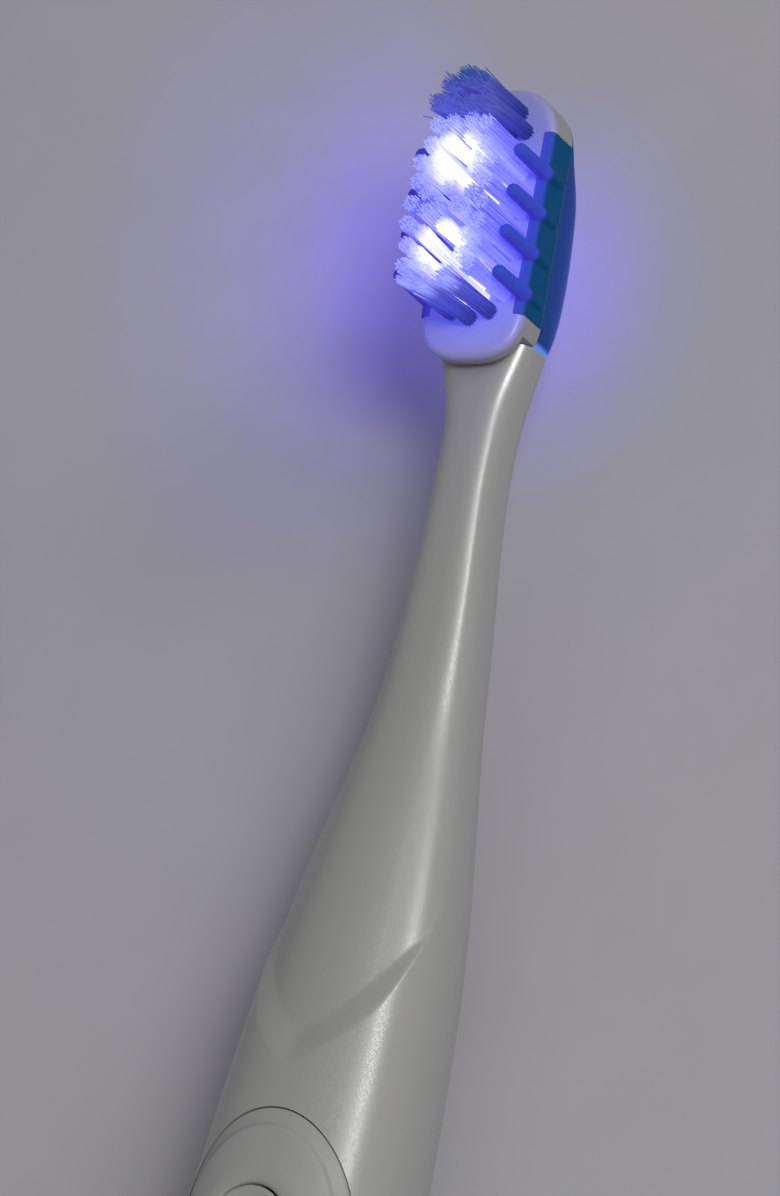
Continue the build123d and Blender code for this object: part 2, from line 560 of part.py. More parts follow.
# ---------------------------------------------------------------- build and write
def assembly():
    """Every node's solids, on the bench frame."""
    form = head_form()
    right_band = finger_band(form)
    spots = both_sides(RIM_SPOTS + INNER_SPOTS + HEEL_SPOTS + TOE_SPOTS)
    in_head = {
        "light_tongue": [light_tongue()],
        "tongue_contacts": tongue_contacts(),
        "neck_seal": [neck_seal()],
        "led_board": [led_board()],
        "led_chips": led_chips(),
        "bristle_carrier": [bristle_carrier(form, tuft_holes())],
        "head_back_shell": [head_back_shell(form)],
        "finger_band_right": [right_band],
        "finger_band_left": [mirrored(right_band)],
        "light_lenses": light_lenses(),
        "rim_tufts": tufts(RIM_SPOTS, WHITE_TUFT_R, RIM_TUFT_Z),
        "inner_tufts": tufts(INNER_SPOTS, WHITE_TUFT_R, INNER_TUFT_Z),
        "heel_tufts": tufts(HEEL_SPOTS, BLUE_TUFT_R, HEEL_TUFT_Z),
        "toe_tufts": tufts(TOE_SPOTS, BLUE_TUFT_R, TOE_TUFT_Z),
        "tuft_anchors": [anchor(x, y) for x, y in spots],
    }
    nodes = {name: [HEAD * solid for solid in solids] for name, solids in in_head.items()}
    pad = grip_pad()
    plunger_z0 = PLUNGER_TOP_Z - PLUNGER_L
    nodes |= {
        "handle_shell": [handle_shell(pad)],
        "grip_pad": [pad],
        "control_panel": [control_panel()],
        "power_button": [power_button()],
        "button_seal": [button_seal()],
        "chassis": [chassis()],
        "main_board": [main_board()],
        "board_components": board_components(),
        "board_screws": board_screws(),
        "switch_body": [switch_body()],
        "switch_plunger": [post(PLUNGER_R, 0, PANEL_Y, plunger_z0, PLUNGER_TOP_Z)],
        "battery_cell": [rod(CELL_R, CELL_Y0, CELL_Y1)],
        "battery_terminal": [battery_terminal()],
        "positive_contact": [positive_contact()],
        "return_strip": [return_strip()],
        "motor_can": [motor_can()],
        "motor_end_bell": [rod(MOTOR_R, MOTOR_Y0, MOTOR_Y0 + END_BELL_L, z=MOTOR_Z)],
        "motor_sleeve": [motor_sleeve()],
        "motor_leads": motor_leads(),
        "motor_shaft": [rod(SHAFT_R, SHAFT_Y0, SHAFT_Y1, z=MOTOR_Z)],
        "eccentric_weight": [eccentric_weight()],
        "led_leads": led_leads(),
        "end_cap": [end_cap()],
        "cap_seal": [cap_seal()],
        "cap_contact": [cap_contact()],
        "cap_spring": [cap_spring()],
    }
    return nodes


def write_nodes(nodes):
    """One STEP file for each node, moved to the row frame."""
    os.makedirs("parts", exist_ok=True)
    toe = max(solid.bounding_box().max.Y for solids in nodes.values() for solid in solids)
    to_frame = Location((0, -toe / 2, REST_DEPTH))
    for name, solids in nodes.items():
        moved = [to_frame * solid for solid in solids]
        shape = moved[0] if len(moved) == 1 else Compound(children=moved)
        export_step(shape, f"parts/{name}.step")


write_nodes(assembly())
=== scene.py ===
"""Looks of the battery toothbrush with a light-emitting brush head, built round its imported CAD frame.

Lengths are in millimetres on the bench frame (tail of the handle at y = 0, handle's axis at z = 0) or on
the head frame (pitched about X at the middle of the bristle face), and become metres in the row frame
only when an object is made.
"""

import bpy
import bmesh
import numpy as np
from math import cos, pi, radians, sin, sqrt
from mathutils import Matrix, Vector


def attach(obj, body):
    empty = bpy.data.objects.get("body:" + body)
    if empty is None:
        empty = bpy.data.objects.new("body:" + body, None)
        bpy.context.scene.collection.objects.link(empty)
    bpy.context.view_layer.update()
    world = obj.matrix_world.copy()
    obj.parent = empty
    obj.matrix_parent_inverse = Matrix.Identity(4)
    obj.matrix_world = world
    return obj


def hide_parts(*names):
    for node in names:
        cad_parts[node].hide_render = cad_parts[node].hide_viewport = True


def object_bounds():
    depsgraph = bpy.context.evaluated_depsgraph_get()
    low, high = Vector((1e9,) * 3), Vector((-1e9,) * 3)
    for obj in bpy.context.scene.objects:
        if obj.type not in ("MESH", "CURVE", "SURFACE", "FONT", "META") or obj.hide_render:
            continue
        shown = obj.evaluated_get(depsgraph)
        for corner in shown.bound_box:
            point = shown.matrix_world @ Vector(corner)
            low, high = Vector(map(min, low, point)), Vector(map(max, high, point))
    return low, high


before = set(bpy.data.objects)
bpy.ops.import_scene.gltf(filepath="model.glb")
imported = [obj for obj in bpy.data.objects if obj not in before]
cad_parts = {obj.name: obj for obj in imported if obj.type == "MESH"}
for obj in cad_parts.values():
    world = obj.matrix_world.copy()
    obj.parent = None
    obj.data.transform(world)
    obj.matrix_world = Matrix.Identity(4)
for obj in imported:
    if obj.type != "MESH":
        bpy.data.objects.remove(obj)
CAD_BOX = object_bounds()

# ---------------------------------------------------------------- dimensions
MM = 0.001
TAIL_Y = CAD_BOX[0][1]  # row-frame y of the handle's tail
REST_Z = 12.0  # the handle's axis above the flat of the grip pad

# Handle and neck skin: y, half width, half height, rise of the centre, squareness of the section
SKIN = np.array([
    (0.0, 10.3, 10.1, 0.0, 2.3), (6.0, 10.8, 10.5, 0.0, 2.3), (20.0, 11.3, 11.0, 0.0, 2.3),
    (38.0, 11.75, 11.45, 0.0, 2.3), (56.0, 11.85, 11.5, 0.0, 2.3), (68.5, 11.55, 11.2, 0.0, 2.3),
    (80.0, 11.0, 10.65, 0.0, 2.3), (91.0, 10.35, 10.05, 0.0, 2.3), (100.5, 9.6, 9.3, 0.0, 2.3),
    (109.4, 8.45, 8.2, 0.0, 2.35), (118.5, 7.0, 6.75, 0.0, 2.5), (127.5, 5.55, 5.45, 0.1, 2.7),
    (136.5, 4.65, 4.65, 0.65, 2.9), (145.3, 3.96, 4.14, 1.78, 3.0), (154.2, 3.55, 3.77, 3.0, 3.0),
    (161.0, 3.85, 3.55, 3.75, 3.0), (168.709, 5.7, 3.15, 5.23, 3.5),
])
TILT_Y0, TILT_Y1 = SKIN[-2:, 0]  # the sections lean over to the head's pitch between these
WALL, BORE_Y1 = 1.7, 158.0
HANDLE_COLUMNS = 240

# Thumb scoop, a U round the handle's front just above the panel
SCOOP_Y, SCOOP_W, SCOOP_SLOPE, SCOOP_FADE = 89.7, 4.2, 0.2, 45.0
SCOOP_RISE, SCOOP_ARM, SCOOP_SWEEP = 10.5, 55.0, 30.0  # how its arms climb, by degrees from the front

# Battery cap
CAP_Y, SEAM_GAP, EDGE_BREAK = 20.0, 0.1, 0.12
TAIL_ROUND, CAP_BORE_R, CAP_FLOOR_Y = 1.8, 7.75, 4.0
SPIGOT_Y1, SPIGOT_HALF_W, SPIGOT_HALF_H, SPIGOT_POWER = 27.5, 9.45, 9.15, 2.3
CAP_SEAL_Y0, CAP_SEAL_Y1, CAP_SEAL_SINK = 22.2, 23.6, 0.6
STRIP_ROOM = (6.75, 8.45, 24.5, 40.0, -1.6, 1.6)  # x, y and z limits of the return strip's slot
CAP_COLUMNS = 200

# Control panel and power button, on the handle's front
PANEL_Y, PANEL_HALF_W, PANEL_HALF_L, PANEL_GAP, PANEL_DEPTH = 68.5, 9.7, 12.3, 0.12, 1.15
# Share of the way from the button's hole to the panel's rim, and how far it stands over the skin there
PANEL_PROFILE = [
    (0.0, -PANEL_DEPTH), (0.0, -0.25), (0.012, -0.1), (0.035, -0.02), (0.06, 0.1), (0.3, 0.1), (0.5, 0.19),
    (0.62, 0.26), (0.72, 0.31), (0.75, 0.30), (0.775, 0.16), (0.79, 0.03), (0.81, -0.03), (0.95, -0.05),
    (0.98, -0.06), (0.993, -0.09), (1.0, -0.16), (1.0, -PANEL_DEPTH),
]
BUTTON_R, BUTTON_HOLE_R, BUTTON_WELL_R, BUTTON_WELL_Z = 4.1, 4.3, 4.7, 8.9
BUTTON_TOP_Z, BUTTON_FLOOR_Z, BUTTON_ROUND = 11.1, 10.2, 0.35
DISH_R, DISH_DEPTH = 3.6, 0.34
STEM_R, STEM_Z = 1.3, 8.77
CLEAR_Z = 16.0  # anywhere above the handle

# Grip pad on the back
PAD_Y0, PAD_Y1, PAD_HALF_W, PAD_SINK, PAD_ROUND = 24.0, 87.5, 5.4, 0.8, 0.6
RIB_PITCH, RIB_DEPTH, RIB_HALF_W = 2.2, 0.38, 3.9

# Brush head, in the head frame
HEAD_Y, HEAD_Z, PITCH = 179.1, 12.5, radians(7.0)  # its origin on the bench frame
FACE_HALF_W, FACE_ROUND = 6.15, 0.85
TOE_BEND_Y, TOE_REACH, TOE_POWER = 11.0, 6.2, 2.1
HEEL_BEND_Y, HEEL_REACH, HEEL_POWER = -8.1, 6.0, 2.6
SKIRT_Z, CHIN_Z, CHIN_ROUND = -4.4, -2.7, 1.3
SEAM_Y = -11.2  # the neck's end face
BACK_LINE = np.array([
    (-15.1, -8.2), (SEAM_Y, -9.1), (-7.0, -10.35), (-2.5, -10.8), (3.5, -10.3), (8.0, -8.95), (11.0, -6.9),
    (13.0, -5.3), (15.0, -4.0), (18.2, -2.2),
])
BACK_Y1, BACK_GAP = 14.3, 0.03
BAY_Y1, BAY_HALF_W, BAY_TOP_Z, BAY_MID_Z, BAY_DEPTH = 8.8, 3.65, -2.4, -4.0, 1.85
BESIDE_X, BELOW_Z = 9.0, -14.0  # anywhere beside the head and below it
BAND_Y0, BAND_Y1 = -9.2, 11.8
BAND_PROFILE = [
    (4.95, -0.5), (4.95, 0.02), (5.03, 0.1), (5.5, 0.1), (5.85, 0.05), (6.08, -0.1), (6.2, -0.35),
    (6.24, -0.8), (6.24, -2.4), (6.24, -4.2), (6.18, -4.4), (5.0, -4.4), (5.0, -2.0),
]
FINGER_X, FINGER_PITCH, FINGER_COUNT = 5.9, 4.62, 4
FINGER_TIP_R, FINGER_TIP_Z = 0.78, 5.72
# Height and radius up a finger, from the rib on the band's side
FINGER_PROFILE = [
    (-3.6, 0.12), (-3.5, 0.4), (-3.2, 0.66), (-2.7, 0.78), (-1.5, 0.84), (0.0, 0.88), (1.5, 0.84),
    (5.6, FINGER_TIP_R),
]
FUSE_MM = 0.12  # voxel that the fingers are fused to the band with

# Tufts: spots on the right half of the face, and those on its middle line
RIM_SPOTS = [(3.8, -7.1), (4.1, -4.8), (4.1, -2.4), (4.1, 0.0), (4.1, 2.3), (4.1, 4.6), (3.2, 6.6),
             (3.0, 8.9)]
INNER_SPOTS = [(1.3, -7.5), (2.65, -5.9), (2.7, -3.55), (2.6, -1.2), (2.65, 1.15), (2.6, 3.5),
               (2.2, 5.1), (1.35, 7.3), (1.1, 9.3), (1.0, -0.5), (0.0, -2.6), (0.0, 1.55)]
HEEL_SPOTS = [(2.3, -8.9), (0.0, -9.6)]
TOE_SPOTS = [(2.87, 11.75), (1.86, 14.0), (0.0, 14.85), (1.0, 11.5)]
HAIR_ROOT_Z, HAIR_SIDES, HAIR_PACKING = -0.4, 5, 0.93
# Shares of a filament's length, and its girth there: straight, then a rounded end
HAIR_STEPS = np.array([0.0, 0.4, 0.72, 0.945, 0.968, 0.99, 1.0])
HAIR_GIRTH = np.array([1.0, 1.0, 1.0, 1.0, 1.0, 0.9, 0.6])
STRAY_SHARE, STRAY = 0.07, 2.6  # how many filaments fray further, and how much
TUFT_LEAN = 0.10  # how far whole tufts lean at random
TONE = 0.28  # how far one filament's light strays from its neighbours'
GOLDEN = pi * (3 - sqrt(5))

# The lights inside the head
LED_Y, LENS_Z = (-5.6, 4.5), 0.3
# Pools of light painted on the floor, in the head frame: peak, x, y, half across, half along, turn, slow
# fall
FLOOR_POOLS = [
    (0.40, -29.9, 194.4, 7.9, 16.0, 0.19, False),
    (0.48, -6.2, 187.6, 8.3, 11.9, 0.27, False),
    (0.155, -47.7, 193.8, 16.4, 34.3, 0.31, True),
]
# A faint painted haze over the whole floor, and the colour of the painted light
FLOOR_HAZE, FLOOR_VIOLET = 0.003, (0.06, 0.0, 1.0)
FLOOR_X, FLOOR_Y = -25.0, 190.0  # middle of the finely divided part of the floor


# ---------------------------------------------------------------- frames and meshes
def from_head(p):
    """Head frame to bench frame."""
    p = np.asarray(p, float)
    y = HEAD_Y + p[..., 1] * cos(PITCH) - p[..., 2] * sin(PITCH)
    z = HEAD_Z + p[..., 1] * sin(PITCH) + p[..., 2] * cos(PITCH)
    return np.stack([p[..., 0], y, z], -1)


def to_row(p):
    """Bench frame in mm to row frame in metres."""
    p = np.asarray(p, float)
    return np.stack([p[..., 0] * MM, p[..., 1] * MM + TAIL_Y, (p[..., 2] + REST_Z) * MM], -1)


def head_coords(obj):
    """The object's vertices on the head frame, in mm."""
    co = np.zeros(len(obj.data.vertices) * 3)
    obj.data.vertices.foreach_get("co", co)
    co = co.reshape(-1, 3)
    x, y, z = co[:, 0] / MM, (co[:, 1] - TAIL_Y) / MM - HEAD_Y, co[:, 2] / MM - REST_Z - HEAD_Z
    return np.stack([x, y * cos(PITCH) + z * sin(PITCH), z * cos(PITCH) - y * sin(PITCH)], -1)


def natural_spline(xs, ys):
    """Natural cubic spline through points."""
    n, h = len(xs), np.diff(xs)
    rows, right = np.eye(n), np.zeros(n)
    for i in range(1, n - 1):
        rows[i, i - 1:i + 2] = h[i - 1], 2 * (h[i - 1] + h[i]), h[i]
        right[i] = 6 * ((ys[i + 1] - ys[i]) / h[i] - (ys[i] - ys[i - 1]) / h[i - 1])
    bend = np.linalg.solve(rows, right)

    def value(x):
        x = np.asarray(x, float)
        i = np.clip(np.searchsorted(xs, x) - 1, 0, n - 2)
        a, b = (xs[i + 1] - x) / h[i], (x - xs[i]) / h[i]
        curl = (a ** 3 - a) * bend[i] + (b ** 3 - b) * bend[i + 1]
        return a * ys[i] + b * ys[i + 1] + curl * h[i] ** 2 / 6

    return value


FITS = [natural_spline(SKIN[:, 0], SKIN[:, k]) for k in range(1, 5)]
BACK = natural_spline(BACK_LINE[:, 0], BACK_LINE[:, 1])


def smooth(a, b, x):
    """0 before a, 1 after b, and a smooth step between."""
    s = np.clip((np.asarray(x, float) - a) / (b - a), 0, 1)
    return s * s * (3 - 2 * s)


def power(value, n):
    """Cosine or sine of a superellipse with squareness n."""
    return np.sign(value) * np.abs(value) ** (2 / n)


def skin(y, t, off=0.0):
    """Point of the handle's skin at a station and an angle round it, moved outwards by off."""
    half_w, half_h, rise, square = (fit(y) for fit in FITS)
    lean = PITCH * np.clip((y - TILT_Y0) / (TILT_Y1 - TILT_Y0), 0, 1)
    x = (half_w + off) * power(np.cos(t), square)
    v = (half_h + off) * power(np.sin(t), square)
    return np.stack([x, y - v * np.sin(lean), rise + v * np.cos(lean)], -1)


def skin_height(x, y, off=0.0, side=1):
    """Height of the skin over a point of the plan, on the front (side 1) or the back (side -1)."""
    half_w, half_h, rise, square = (fit(y) for fit in FITS)
    inside = np.clip(1 - (np.abs(x) / (half_w + off)) ** square, 0, None)
    return rise + side * (half_h + off) * inside ** (1 / square)


def columns(count):
    """Angles round a closed section."""
    return np.linspace(0, 2 * pi, count, endpoint=False)


def quarter(count, start=0.0):
    """Angles of a rounded edge."""
    return np.linspace(start, pi / 2, count)


class Shape:
    """Collects points and faces, then becomes an object."""

    def __init__(self):
        self.points, self.faces, self.tones, self.count = [], [], [], 0

    def grid(self, points, wrap=True, caps=(False, False)):
        """Rows of points joined by quads; wrap closes each row, caps close the ends."""
        points = np.asarray(points, float)
        rows, cols = points.shape[:2]
        faces = []
        for r in range(rows - 1):
            for c in range(cols if wrap else cols - 1):
                d = (c + 1) % cols
                faces.append((r * cols + c, r * cols + d, (r + 1) * cols + d, (r + 1) * cols + c))
        if caps[0]:
            faces.append(tuple(range(cols))[::-1])
        if caps[1]:
            faces.append(tuple(range((rows - 1) * cols, rows * cols)))
        self.faces += [tuple(self.count + i for i in face) for face in faces]
        self.points.append(points.reshape(-1, 3))
        self.count += rows * cols

    def object(self, name, place=None, weld=True):
        """The object, in the row frame, with its normals facing out."""
        points = np.concatenate(self.points)
        if place:
            points = place(points)
        mesh = bpy.data.meshes.new(name)
        mesh.from_pydata(to_row(points).tolist(), [], self.faces)
        tidy = bmesh.new()
        tidy.from_mesh(mesh)
        if weld:
            bmesh.ops.remove_doubles(tidy, verts=tidy.verts, dist=1e-7)
        bmesh.ops.recalc_face_normals(tidy, faces=tidy.faces)
        tidy.to_mesh(mesh)
        tidy.free()
        obj = bpy.data.objects.new(name, mesh)
        bpy.context.scene.collection.objects.link(obj)
        return obj


def closed(rows, name, place=None):
    """Object of one closed run of rows, capped at both ends."""
    shape = Shape()
    shape.grid(rows, caps=(True, True))
    return shape.object(name, place)


def prism(section, y0, y1, place=None):
    """Cutter with a section in X and Z, between two stations."""
    return closed([[(x, y, z) for x, z in section] for y in (y0, y1)], "cutter", place)


def block(x0, x1, y0, y1, z0, z1, place=None):
    """Cutter given by its limits."""
    return prism([(x0, z0), (x1, z0), (x1, z1), (x0, z1)], y0, y1, place)


def settle(obj):
    """Applies the object's modifiers."""
    graph = bpy.context.evaluated_depsgraph_get()
    mesh = bpy.data.meshes.new_from_object(obj.evaluated_get(graph))
    obj.modifiers.clear()
    obj.data = mesh


def carve(obj, cutter, how="DIFFERENCE"):
    """Boolean of two closed objects; the second one is used up."""
    mod = obj.modifiers.new("carve", "BOOLEAN")
    mod.operation, mod.solver, mod.object = how, "EXACT", cutter
    settle(obj)
    bpy.data.objects.remove(cutter)


def shade(obj, angle=38.0):
    """Smooth shading, with edges sharper than the angle left crisp."""
    obj.data.shade_smooth()
    obj.data.set_sharp_from_angle(angle=radians(angle))


def glow(obj, colour_at, tones=1.0):
    """Stores the painted light that each point gives off as emission, from its place on the head frame."""
    layer = obj.data.attributes.new("glow", "FLOAT_COLOR", "POINT")
    colours = np.ones((len(obj.data.vertices), 4))
    colours[:, :3] = np.clip(colour_at(head_coords(obj)), 0, None) * tones
    layer.data.foreach_set("color", colours.ravel())


def piece(obj, look, body, slot, *nodes):
    """Gives a finished piece its material and body and hides the CAD nodes it stands for; slot is not used.
    """
    obj.data.materials.clear()
    obj.data.materials.append(look)
    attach(obj, body)
    if nodes:
        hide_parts(*nodes)


# ---------------------------------------------------------------- materials
NOISE_LOW, NOISE_HIGH = 0.3, 0.7  # where a noise texture's values lie
BLOTCH_MM = 14.0  # slow drift of a material's colour
ROUGH_GRAINS, ROUGH_SPREAD = 2.5, 0.12  # size of a patch of roughness, and how far it strays
FLAKE_MM, FLAKE_SPREAD = 0.13, 0.18  # one pearl flake, and how far its roughness strays
# how far the painted glow strays at random
GLOW_SPREAD = 0.07
RELIEF_MM = 0.05


def material(name, base, rough, metal=0.0, grain=0.03, grain_mm=0.6, bump=0.0, bump_mm=0.3,
             flakes=0.0, lit=False, emit=None, **sockets):
    """Moulded or machined material: fine colour variation, varied roughness, bump, flakes, painted glow."""
    mat = bpy.data.materials.new(name)
    mat.use_nodes = True
    nodes, links = mat.node_tree.nodes, mat.node_tree.links
    shader = nodes["Principled BSDF"]
    shader.inputs["Metallic"].default_value = metal
    for socket, value in sockets.items():
        shader.inputs[socket.replace("_", " ")].default_value = value
    where = nodes.new("ShaderNodeTexCoord").outputs["Object"]

    def noise(size_mm, detail=3.0):
        tex = nodes.new("ShaderNodeTexNoise")
        tex.inputs["Scale"].default_value = 1 / (size_mm * MM)
        tex.inputs["Detail"].default_value = detail
        links.new(where, tex.inputs["Vector"])
        return tex.outputs["Fac"]

    def around(source, middle, spread):
        """The source stretched to a share of spread either side of middle."""
        node = nodes.new("ShaderNodeMapRange")
        node.inputs["From Min"].default_value = NOISE_LOW
        node.inputs["From Max"].default_value = NOISE_HIGH
        node.inputs["To Min"].default_value = middle * (1 - spread)
        node.inputs["To Max"].default_value = middle * (1 + spread)
        links.new(source, node.inputs["Value"])
        return node.outputs["Result"]

    def scaled(colour_source, factor_source):
        mix = nodes.new("ShaderNodeVectorMath")
        mix.operation = "SCALE"
        links.new(colour_source, mix.inputs[0])
        links.new(factor_source, mix.inputs["Scale"])
        return mix.outputs["Vector"]

    tint = nodes.new("ShaderNodeMix")
    tint.data_type = "RGBA"
    tint.inputs["A"].default_value = (*[c * (1 - grain) for c in base], 1)
    tint.inputs["B"].default_value = (*[min(1, c * (1 + grain)) for c in base], 1)
    links.new(noise(grain_mm), tint.inputs["Factor"])
    colour = scaled(tint.outputs["Result"], around(noise(BLOTCH_MM), 1, grain))
    if flakes:
        cells = nodes.new("ShaderNodeTexVoronoi")
        cells.inputs["Scale"].default_value = 1 / (FLAKE_MM * MM)
        links.new(where, cells.inputs["Vector"])
        spark = nodes.new("ShaderNodeSeparateColor")
        links.new(cells.outputs["Color"], spark.inputs["Color"])
        colour = scaled(colour, around(spark.outputs["Red"], 1, flakes))
        roughness = around(spark.outputs["Green"], rough, FLAKE_SPREAD)
    else:
        roughness = around(noise(grain_mm * ROUGH_GRAINS), rough, ROUGH_SPREAD)
    links.new(colour, shader.inputs["Base Color"])
    links.new(roughness, shader.inputs["Roughness"])
    if bump:
        relief = nodes.new("ShaderNodeBump")
        relief.inputs["Strength"].default_value = bump
        relief.inputs["Distance"].default_value = RELIEF_MM * MM
        links.new(noise(bump_mm, 4.0), relief.inputs["Height"])
        links.new(relief.outputs["Normal"], shader.inputs["Normal"])
    if lit:
        # painted light: the stored glow attribute, given off as emission
        layer = nodes.new("ShaderNodeAttribute")
        layer.attribute_name = "glow"
        light = scaled(layer.outputs["Color"], around(noise(grain_mm), 1, GLOW_SPREAD))
        links.new(light, shader.inputs["Emission Color"])
        shader.inputs["Emission Strength"].default_value = 1.0
    elif emit:
        shader.inputs["Emission Color"].default_value = (*emit[0], 1)
        shader.inputs["Emission Strength"].default_value = emit[1]
    return mat


# Materials with lit=True give off the painted light stored in their glow attribute
M = {
    "pearl": material("pearl_plastic", (0.375, 0.374, 0.362), 0.35, metal=0.25, grain=0.006, bump=0.027,
                      bump_mm=0.16, flakes=0.006, Coat_Weight=0.25, Coat_Roughness=0.18),
    "cover": material("pearl_cover", (0.32, 0.322, 0.315), 0.5, metal=0.05, grain=0.01, bump=0.02,
                      bump_mm=0.2, Coat_Weight=0.12, Coat_Roughness=0.25),
    "carrier": material("white_carrier", (0.29, 0.29, 0.28), 0.36, grain=0.02, bump=0.05, lit=True,
                        Subsurface_Weight=0.15, Subsurface_Scale=0.002),
    "rubber": material("soft_rubber", (0.001, 0.075, 0.20), 0.5, grain=0.05, bump=0.12, lit=True,
                       Specular_IOR_Level=0.06),
    "pad": material("grip_rubber", (0.006, 0.11, 0.16), 0.55, grain=0.06, bump=0.3, bump_mm=0.35),
    "back": material("blue_shell", (0.002, 0.035, 0.21), 0.2, grain=0.03, lit=True, Coat_Weight=0.04,
                     Coat_Roughness=0.06, Specular_IOR_Level=0.12),
    "white_hair": material("white_bristle", (0.30, 0.32, 0.60), 0.4, grain=0.25, grain_mm=0.25, lit=True),
    "blue_hair": material("blue_bristle", (0.03, 0.06, 0.28), 0.4, grain=0.3, grain_mm=0.25, lit=True),
    "lens": material("clear_lens", (0.75, 0.78, 1.0), 0.08, grain=0.01, Coat_Weight=1.0,
                     emit=((0.35, 0.35, 1.0), 1.2)),
    "chip": material("light_chip", (0.8, 0.75, 0.5), 0.3, grain=0.05, emit=((0.5, 0.45, 1.0), 12.0)),
    "tongue": material("tongue_plastic", (0.70, 0.72, 0.74), 0.28, grain=0.03, bump=0.05),
    "seal": material("dark_rubber", (0.018, 0.019, 0.022), 0.6, grain=0.15, bump=0.3),
    "inner": material("inner_plastic", (0.045, 0.047, 0.05), 0.5, grain=0.1, bump=0.2),
    "plunger": material("plunger_plastic", (0.32, 0.33, 0.35), 0.35, grain=0.05, bump=0.05),
    "board": material("board_green", (0.012, 0.12, 0.045), 0.35, grain=0.12, grain_mm=0.9, bump=0.1,
                      Coat_Weight=0.5, Coat_Roughness=0.15),
    "cell": material("cell_label", (0.07, 0.075, 0.085), 0.3, grain=0.06, grain_mm=1.5, bump=0.05,
                     Coat_Weight=0.7, Coat_Roughness=0.1),
    "steel": material("steel", (0.56, 0.56, 0.57), 0.28, metal=1.0, grain=0.05, bump=0.15, bump_mm=0.12),
    "tungsten": material("tungsten", (0.30, 0.30, 0.31), 0.42, metal=1.0, grain=0.08, bump=0.3),
    "brass": material("contact_brass", (0.72, 0.50, 0.20), 0.28, metal=1.0, grain=0.08, bump=0.12),
    "lead": material("lead_plastic", (0.35, 0.012, 0.012), 0.4, grain=0.05, bump=0.05),
    "floor": material("pale_sheet", (0.418, 0.408, 0.428), 0.75, grain=0.012, grain_mm=5.0, bump=0.25,
                      bump_mm=0.8, lit=True),
}
CAD_LOOKS = {
    "lens": ("light_lenses",),
    "chip": ("led_chips",),
    "tongue": ("light_tongue",),
    "seal": ("button_seal", "neck_seal", "cap_seal", "motor_sleeve"),
    "inner": ("chassis", "motor_end_bell", "switch_body", "board_components"),
    "plunger": ("switch_plunger",),
    "board": ("main_board", "led_board"),
    "cell": ("battery_cell",),
    "steel": ("motor_can", "motor_shaft", "board_screws", "tuft_anchors", "battery_terminal", "cap_spring"),
    "tungsten": ("eccentric_weight",),
    "brass": ("positive_contact", "return_strip", "cap_contact", "tongue_contacts"),
    "lead": ("motor_leads", "led_leads"),
}
for look, names in CAD_LOOKS.items():
    for name in names:
        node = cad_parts[name]
        node.data.materials.clear()
        node.data.materials.append(M[look])
        shade(node, 30)


# ---------------------------------------------------------------- handle and neck
def thumb_scoop(y, t):
    """Depth of the thumb scoop: a crisp lip, a ramp down, and a long fade out towards the neck."""
    side = np.abs(np.degrees(t) - 90)
    lip = SCOOP_Y + SCOOP_RISE * (side / SCOOP_ARM) ** 1.2
    lip = lip + SCOOP_SWEEP * np.clip((side - 60) / 60, 0, None) ** 2
    width = SCOOP_W * (1 - smooth(35, 78, side)) + 1e-6
    below = lip - y
    share = np.clip(below / width, 0, 1)
    ramp = 1 - smooth(0, 1, share) * 0.25 - share * 0.75
    fade = 1 - smooth(0, SCOOP_FADE, -below)
    return SCOOP_SLOPE * width * np.where(below > 0, ramp, fade) * (below < width)


def oval(half_w, half_l, count, z=None, rise=0.0):
    """Ring round the button's axis, level at z, or else standing that far over the handle's skin."""
    turn = columns(count)
    x, y = half_w * np.cos(turn), PANEL_Y + half_l * np.sin(turn)
    if z is None:
        z = skin_height(x, y, rise)
    return np.stack([x, y, np.full(count, z)], -1)


def pocket():
    """Cutter for the control panel's pocket and the button's well."""
    count = 120
    well = [oval(BUTTON_WELL_R * k, BUTTON_WELL_R * k, count, BUTTON_WELL_Z) for k in (0.04, 0.4, 0.85, 1.0)]
    half_w, half_l = PANEL_HALF_W + PANEL_GAP, PANEL_HALF_L + PANEL_GAP
    bed = [oval(half_w * k, half_l * k, count, rise=-PANEL_DEPTH)
           for k in (0.475, 0.6, 0.7, 0.8, 0.88, 0.94, 0.98, 1.0)]
    return closed(well + bed + [oval(half_w, half_l, count, CLEAR_Z)], "cutter")


def handle():
    """Neck and handle in one skin, hollow, with the panel's pocket and the button's well."""
    stations = np.concatenate([
        np.arange(CAP_Y, 56, 2.0), np.arange(56, 84, 1.0), np.arange(84, 112, 0.2),
        np.arange(112, TILT_Y0, 1.4), np.linspace(TILT_Y0, TILT_Y1, 8),
    ])
    turn = columns(HANDLE_COLUMNS)
    y, t = np.meshgrid(stations, turn, indexing="ij")
    outside = skin(y, t, -thumb_scoop(y, t))
    outside[0] = skin(np.full(HANDLE_COLUMNS, CAP_Y), turn, -EDGE_BREAK)
    outside[1] = skin(np.full(HANDLE_COLUMNS, CAP_Y + EDGE_BREAK), turn)
    y, t = np.meshgrid(np.linspace(BORE_Y1, CAP_Y, 60), turn, indexing="ij")
    inside = skin(y, t, -WALL)
    rim = outside[-1]
    centre = rim.mean(0)
    sunk = [centre + (rim - centre) * k + np.array((0, -0.05, 0)) for k in (0.97, 0.5, 0.02)]
    obj = closed(np.concatenate([inside, outside, np.array(sunk)]), "handle_skin")
    carve(obj, pocket())
    return obj


def panel():
    """Oval cover with a raised middle, bedded in the pocket, with the button's hole."""
    rows = [oval((1 - k) * BUTTON_HOLE_R + k * PANEL_HALF_W, (1 - k) * BUTTON_HOLE_R + k * PANEL_HALF_L,
                 200, rise=rise) for k, rise in PANEL_PROFILE]
    cover = Shape()
    cover.grid(rows + rows[:1])
    return cover.object("control_cover")


